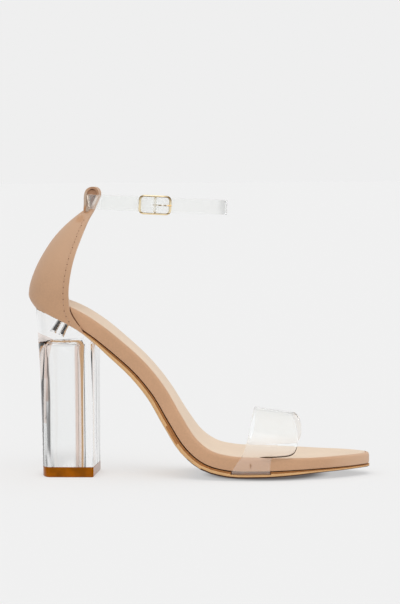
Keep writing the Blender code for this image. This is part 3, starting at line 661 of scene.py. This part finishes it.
def counter_piece(wrap, edge, lining):
    piece = copy_of("counter", "heel_counter", "nude_wrap", wrap, edge, lining)
    tree = tree_of(piece)

    def is_edge(centre, normal):
        through = tree.ray_cast(centre - normal * SKIN * MM, -normal)[3] or 1.0
        return through > CUT_DEEP * MM and centre.z < LOOP_FOOT * MM

    def is_inside(centre, normal):
        away = Vector((centre.x - CUP_MIDDLE * MM, centre.y, 0.0)).normalized()
        return centre.z < LOOP_FOOT * MM and normal.dot(away) < -0.2

    paint_faces(piece, 2, is_inside)
    paint_faces(piece, 1, is_edge)
    refine(piece, 1, 45)
    for start, end, depth, width in COUNTER_CREASES:
        press_trough(piece, Vector(start) * MM, Vector(end) * MM, depth * MM, width * MM)
    return smooth(piece, 40)


def press_trough(piece, start, end, depth, width):
    """Pushes both walls inwards along a line seen from the side, deepest in its middle."""
    along = end - start
    for corner in piece.data.vertices:
        place = Vector((corner.co.x, corner.co.z))
        share = min(1.0, max(0.0, (place - start).dot(along) / along.length_squared))
        away = (place - start - along * share).length / width
        push = depth * math.exp(-away * away)
        corner.co.y -= math.copysign(min(push, abs(corner.co.y) * 0.5), corner.co.y)


def loop_block(name, size, centre, spread, rounding, wrap):
    """A block inside the loop, bowed like it; its front leans forward by the spread at its foot."""
    bpy.ops.object.select_all(action="DESELECT")
    bpy.ops.mesh.primitive_cube_add(size=1.0)
    piece = bpy.context.object
    piece.name = name
    edit(piece)
    bpy.ops.transform.resize(value=[s * MM for s in size])
    bpy.ops.transform.translate(value=[c * MM for c in centre])
    bpy.ops.mesh.subdivide(number_cuts=3)
    leave()
    for corner in piece.data.vertices:
        up = (corner.co.z / MM - centre[2]) / size[2] + 0.5
        front = (corner.co.x / MM - centre[0]) / size[0] + 0.5
        across = corner.co.y / MM / size[1] * 2
        corner.co.x += (front * spread * (1 - up) + LOOP_BOW * across**2) * MM
    round_edges(piece, rounding, 40, 3)
    piece.data.materials.append(wrap)
    return settle(smooth(piece, 50))


def loop_insides():
    """The turned-in ends of the loop's strip and the padding under its fold, the tongue and fold coloured
    with painted shade, and pale lines painted as the highlights of the clear strap's edges.
    """
    for name, size, centre, spread, rounding, colour in LOOP_BLOCKS:
        loop_block(name, size, centre, spread, rounding, leather(name, colour))
    rows = []
    for side in (-1, 1):
        ends = [Vector((x, side * PALE_EDGE_Y, z)) * MM for x, z in (PALE_EDGE_TOP, PALE_EDGE_FOOT)]
        rows.append([ends[0].lerp(ends[1], share) for share in np.linspace(0, 1, 8)])
    # Pale lines painted as highlights on the clear strap's edges.
    tube("loop_edge_highlights", rows, PALE_EDGE_THICK / 2, leather("painted_edge_highlight", STRAP_EDGE_HIGHLIGHT))


def cut_box(piece, centre, size):
    """Cuts a box with these sizes in millimetres out of a piece."""
    bpy.ops.object.select_all(action="DESELECT")
    bpy.ops.mesh.primitive_cube_add(size=1.0, location=[c * MM for c in centre])
    cutter = bpy.context.object
    cutter.scale = [s * MM for s in size]
    apply(piece, "BOOLEAN", operation="DIFFERENCE", object=cutter, solver="EXACT")
    bpy.data.objects.remove(cutter)


def tree_of(piece):
    corners = [v.co for v in piece.data.vertices]
    return BVHTree.FromPolygons(corners, [tuple(p.vertices) for p in piece.data.polygons])


def hit_from_side(tree, side, x, z):
    """Where a line from one side of the shoe first meets a piece before the middle plane."""
    start = Vector((x, side * SIDE_AWAY, z))
    return tree.ray_cast(start, Vector((0.0, -side, 0.0)), SIDE_REACH)


def front_edge(tree, side, low, high):
    """The counter's front edge seen from one side, as rows of x and z."""
    rows = []
    for z in np.linspace(low, high, 160) * MM:
        back, front = (x * MM for x in EDGE_SEARCH)
        for _ in range(22):
            middle = (back + front) / 2
            if hit_from_side(tree, side, middle, z)[0] is None:
                front = middle
            else:
                back = middle
        rows.append((back, z))
    return np.array(rows)


def stitch_places(tree, side):
    """Centre, direction and normal of each stitch of one row."""
    edge = front_edge(tree, side, STITCH_LOW, STITCH_HIGH)
    along = np.gradient(edge, axis=0)
    along /= np.linalg.norm(along, axis=1)[:, None]
    inside = edge + np.stack([-along[:, 1], along[:, 0]], 1) * STITCH_INSIDE * MM
    walk = np.concatenate([[0], np.cumsum(np.linalg.norm(np.diff(inside, axis=0), axis=1))])
    places = []
    for at in np.arange(0.0, walk[-1], STITCH_PITCH * MM):
        x, z = (np.interp(at, walk, inside[:, k]) for k in (0, 1))
        hit, normal = hit_from_side(tree, side, x, z)[:2]
        if hit is not None:
            ahead = Vector((np.interp(at, walk, along[:, 0]), 0.0, np.interp(at, walk, along[:, 1])))
            places.append((hit, (ahead - normal * ahead.dot(normal)).normalized(), normal))
    return places


def bead(size):
    """An elongated bead with these sizes in millimetres."""
    bpy.ops.object.select_all(action="DESELECT")
    bpy.ops.mesh.primitive_uv_sphere_add(segments=10, ring_count=6, radius=0.5)
    piece = bpy.context.object
    edit(piece)
    bpy.ops.transform.resize(value=[s * MM for s in size])
    leave()
    return piece


def sewn(name, size, places, material):
    """Copies of one bead, each laid along its own direction on the surface, as one piece."""
    first = bead(size)
    copies = []
    for centre, ahead, normal in places:
        turn = Matrix((ahead, normal.cross(ahead), normal)).transposed()
        copy = bpy.data.objects.new(name, first.data.copy())
        copy.data.transform(Matrix.Translation(centre) @ turn.to_4x4())
        bpy.context.scene.collection.objects.link(copy)
        copies.append(copy)
    bpy.data.objects.remove(first)
    pick(*copies)
    bpy.ops.object.join()
    piece = bpy.context.object
    piece.name = name
    piece.data.materials.append(material)
    return settle(smooth(piece, 60))


def counter_stitches(counter, thread, hole_shade):
    tree = tree_of(counter)
    threads = []
    holes = []
    for side in (-1, 1):
        for centre, ahead, normal in stitch_places(tree, side):
            threads.append((centre + normal * 0.05 * MM, ahead, normal))
            holes.append((centre + ahead * STITCH_PITCH / 2 * MM, ahead, normal))
    sewn("counter_thread", (THREAD_LONG, THREAD_WIDE, THREAD_HIGH), threads, thread)
    # Dark beads between the stitches: painted shade in the pinholes.
    sewn("counter_pinholes", (HOLE_WIDE, HOLE_WIDE, HOLE_HIGH), holes, hole_shade)


def tube(name, rows, radius, material):
    """A round line through each row of points, thinner at its ends; the radius is in millimetres."""
    line = bpy.data.curves.new(name, "CURVE")
    line.dimensions = "3D"
    line.bevel_depth = radius * MM
    line.bevel_resolution = 2
    line.use_fill_caps = True
    for points in rows:
        spline = line.splines.new("POLY")
        spline.points.add(len(points) - 1)
        for number, (place, point) in enumerate(zip(spline.points, points)):
            place.co = (*point, 1.0)
            from_end = min(number, len(points) - 1 - number) / len(points)
            place.radius = min(1.0, LINE_TIP + LINE_SWELL * from_end)
    piece = bpy.data.objects.new(name, line)
    bpy.context.scene.collection.objects.link(piece)
    piece.data.materials.append(material)
    pick(piece)
    bpy.ops.object.convert(target="MESH")
    return settle(smooth(bpy.context.object, 60))


def counter_gap_shadow(counter, footbed, dark):
    """A dark tube, a painted shadow in the gap where the counter's front edge meets the rand."""
    walls = tree_of(counter)
    rand = tree_of(footbed)
    rows = []
    for side in (-1, 1):
        points = []
        for x, z in front_edge(walls, side, GAP_SHADOW_LOW, GAP_SHADOW_HIGH):
            hit = hit_from_side(rand, side, x + GAP_SHADOW_AHEAD * MM, z)[0]
            if hit is not None:
                points.append(hit)
        rows.append(points)
    return tube("counter_gap_shadow", rows, GAP_SHADOW_THICK / 2, dark)


def vamp_piece(clear):
    """The toe strap with its relief slits."""
    piece = copy_of("vamp_strap", "clear_toe_strap", "clear_strap", clear)
    refine(piece, 1, 60)
    for side in (-1, 1):
        cut_box(piece, (SLIT_X, side * SLIT_Y, SLIT_Z), (SLIT_WIDE, SLIT_DEEP, SLIT_HIGH))
        edge_slit = (EDGE_SLIT_LONG, SLIT_DEEP, EDGE_SLIT_HIGH)
        cut_box(piece, (EDGE_SLIT_X, side * SLIT_Y, EDGE_SLIT_Z), edge_slit)
    round_edges(piece, 0.4, 55)
    return lets_light_through(smooth(piece, 50))


def strap_edge_shadow_line(strap, dark):
    """A dark tube, a painted shadow along the toe strap's free lower side and round its front corner."""
    band = tree_of(strap)
    points = []
    for x in np.linspace(EDGE_LINE_FROM, EDGE_LINE_TO, 60) * MM:
        low, high = EDGE_SLIT_Z * MM, EDGE_LINE_TOP * MM
        if hit_from_side(band, LATERAL, x, high)[0] is None:
            continue
        for _ in range(18):
            middle = (low + high) / 2
            if hit_from_side(band, LATERAL, x, middle)[0] is None:
                low = middle
            else:
                high = middle
        points.append(hit_from_side(band, LATERAL, x, high)[0])
    return tube("strap_edge_shadow_line", [points], EDGE_LINE_THICK / 2, dark)


def strap_slit_lines(strap, dark):
    """The cut sides of the short relief slits, one on each side of the toe strap."""
    band = tree_of(strap)
    rows = []
    for side in (-1, 1):
        heights = np.linspace(SLIT_Z - SLIT_HIGH / 2, SLIT_Z + SLIT_HIGH / 2, 8) * MM
        hits = [hit_from_side(band, side, (SLIT_X + SLIT_WIDE) * MM, z)[0] for z in heights]
        rows.append([hit for hit in hits if hit is not None])
    return tube("strap_slit_lines", rows, SLIT_WIDE / 2, dark)


def ankle_piece(clear):
    piece = copy_of("ankle_strap", "clear_ankle_strap", "clear_strap", clear)
    return lets_light_through(smooth(piece, 50))


def buckle_pieces():
    """The frame, its bar and the prong; the bar and the prong's root lie under the clear strap, and their
    paler gold is that strap's painted sheen.
    """
    piece = copy_of("buckle_frame", "gold_buckle_frame", "gold")
    corners = np.array([v.co for v in piece.data.vertices]) / MM
    low, high = corners.min(0), corners.max(0)
    middle = (low + high) / 2
    spots = [
        ((low[0], middle[1], high[2]), BACK_CORNER_DARK),
        ((high[0], middle[1], high[2]), FRONT_CORNER_DARK),
    ]
    levels = corners[:, 2] + corners[:, 0] * STRAP_FALL
    near, far = RAIL_DARK
    bands = [(levels.min() + near, levels.min() + far), (levels.max() - far, levels.max() - near)]
    piece.data.materials.append(gold_metal("gold_metal", GOLD, 1.0, spots, bands))
    # Painted sheen of the clear strap: the bar is paler gold.
    sheened_gold = gold_metal("gold_under_strap_sheen", GOLD_STRAP_SHEEN, 0.5)
    piece.data.materials.append(sheened_gold)

    def is_bar(centre, normal):
        inside_ends = low[0] + BUCKLE_RAIL < centre.x / MM < high[0] - BUCKLE_RAIL
        return inside_ends and low[2] + BUCKLE_RAIL < centre.z / MM < high[2] - BUCKLE_RAIL

    paint_faces(piece, 1, is_bar)
    smooth(piece, 50)
    prong = copy_of("buckle_prong", "gold_buckle_prong", "gold")
    tip = max((v.co / MM for v in prong.data.vertices), key=lambda place: place.x)
    dots = [((tip.x - back, tip.y, tip.z), PRONG_DOT) for back in PRONG_DOTS_BACK]
    prong.data.materials.append(gold_metal("prong_gold", GOLD_STRAP_SHEEN, 0.5, dots))
    prong.data.materials.append(gold_metal("prong_tip", TIP_GOLD, 1.0))
    paint_faces(prong, 1, lambda centre, normal: centre.x > (tip.x - PRONG_TIP_LONG) * MM)
    smooth(prong, 60)


def add_floor():
    """A glowing pale floor with the contact shadow under the ball of the sole."""
    bpy.ops.object.select_all(action="DESELECT")
    bpy.ops.mesh.primitive_circle_add(vertices=64, radius=FLOOR_RADIUS, fill_type="NGON")
    floor = bpy.context.object
    floor.name = "floor"
    pale = Finish("pale_floor", Roughness=0.9, Specular_IOR_Level=0.0, Emission_Strength=FLOOR_GLOW)
    wire = pale.wire
    from_ball = wire.node("VectorMath", {"operation": "SUBTRACT"}, {0: pale.place, 1: SHADOW_CENTRE})
    in_sizes = wire.node("VectorMath", {"operation": "DIVIDE"}, {0: from_ball, 1: SHADOW_REACH})
    ring = wire.node("VectorMath", {"operation": "LENGTH"}, {0: in_sizes}, out="Value")
    open_floor = ring.smooth(*SHADOW_FADE) * SHADOW_DARK + (1.0 - SHADOW_DARK)
    dark = (*SHADOW_TONE, 1.0)
    pale.colour(wire.mixed(open_floor, dark, (FLOOR_SHARE, FLOOR_SHARE, FLOOR_SHARE, 1.0)))
    glow = wire.mixed(open_floor, dark, (1.0, 1.0, 1.0, 1.0))
    wire.feed(pale.shader.inputs["Emission Color"], glow)
    floor.data.materials.append(pale.material)


def add_light():
    """A soft, even studio: a plain backdrop, a brighter sky, the lamp's glow and the dark flag."""
    world = bpy.data.worlds.new("studio")
    bpy.context.scene.world = world
    world.use_nodes = True
    tree = world.node_tree
    wire = Wire(tree)
    away = wire.node("TexCoord", out="Generated")
    grey = linear(BACKDROP)[0]
    heights = ((0.0, grey), (BACKDROP_TOP, grey), *SKY)
    stops = [(place, (bright, bright, bright)) for place, bright in heights]
    bands = wire.node("ValToRGB", {"stops": stops}, {0: away.part("Z") * 0.5 + 0.5})
    lamp = wire.node("VectorMath", {"operation": "DOT_PRODUCT"}, {0: away, 1: LAMP_WAY}, out="Value")
    flag = (away.part("X") * -1.0).smooth(*FLAG_EDGE) * FLAG_DARK
    glow = (lamp.smooth(*LAMP_EDGE) * LAMP_GLOW + 1.0) * (1.0 - flag)
    background = tree.nodes["Background"]
    wire.feed(background.inputs["Color"], bands)
    wire.feed(background.inputs["Strength"], glow)


def add_camera():
    """The photograph's camera."""
    data = bpy.data.cameras.new("camera")
    data.sensor_width = SENSOR_MM
    data.lens = FOCAL_PIXELS * SENSOR_MM / PHOTO_HEIGHT
    camera = bpy.data.objects.new("camera", data)
    bpy.context.scene.collection.objects.link(camera)
    rise = math.asin((CAMERA_HEIGHT - CAMERA_AIM.z) / CAMERA_DISTANCE)
    side = Vector((math.sin(CAMERA_TURN), -math.cos(CAMERA_TURN), 0.0))
    back = side * math.cos(rise) + Vector((0.0, 0.0, math.sin(rise)))
    camera.location = CAMERA_AIM + back * CAMERA_DISTANCE
    camera.rotation_mode = "QUATERNION"
    level = (-back).to_track_quat("-Z", "Y")
    camera.rotation_quaternion = level @ Quaternion((0.0, 0.0, 1.0), CAMERA_ROLL)
    bpy.context.scene.camera = camera


def build():
    """All pieces of the sandal, then the studio round it."""
    cream = sock_cover()
    footbed = footbed_piece(leather("nude_wrap", NUDE, RAND_PAINTED_LIGHT))
    sock_piece(cream)
    outsole_piece(sole_tan(), sole_joint("sole_joint", JOINT_BROWN), sole_joint("sole_foot_shade", FOOT_SHADE_BROWN))
    heel_clear = clear_plastic("clear_heel", HEEL_TINT, HEEL_CLEAR, HEEL_BEND, CAST_SURFACE)
    heel_piece(heel_clear, clear_plastic("hollow_corner_reflection", HOLLOW_REFLECTION_TINT, HEEL_CLEAR, HEEL_BEND, CAST_SURFACE))
    heel_tip_piece(tip_rubber("tip_rubber", TIP_GLOSS), tip_rubber("tip_breast", BREAST_GLOSS))
    nail_pieces(nail_steel())
    cover = leather("nude_counter", NUDE_COUNTER, COUNTER_PAINTED_LIGHT, COUNTER_SHADES)
    counter = counter_piece(cover, leather("pale_edge", NUDE_PALE), cream)
    counter_gap_shadow(counter, footbed, leather("gap_shadow_line", GAP_SHADOW_BROWN))
    loop_insides()
    counter_stitches(counter, thread_finish("nude_thread", THREAD), thread_finish("pinhole_shade", PINHOLE_SHADE_BROWN))
    toe_clear = clear_plastic(
        "clear_toe_strap", TAB_TINT, TOE_CLEAR, TOE_BEND, SHEET_SURFACE, TOE_CHANGE, TOE_COAT
    )
    toe_strap = vamp_piece(toe_clear)
    strap_edge_shadow_line(toe_strap, leather("strap_edge_shadow", EDGE_SHADOW_BROWN))
    strap_slit_lines(toe_strap, leather("slit_edge", SLIT_BROWN))
    ankle_piece(
        clear_plastic("clear_ankle_strap", ANKLE_TINT, ANKLE_CLEAR, ANKLE_BEND, SHEET_SURFACE, ANKLE_CHANGE)
    )
    buckle_pieces()
    bpy.context.scene.view_settings.view_transform = "Standard"
    add_floor()
    add_light()
    add_camera()


build()
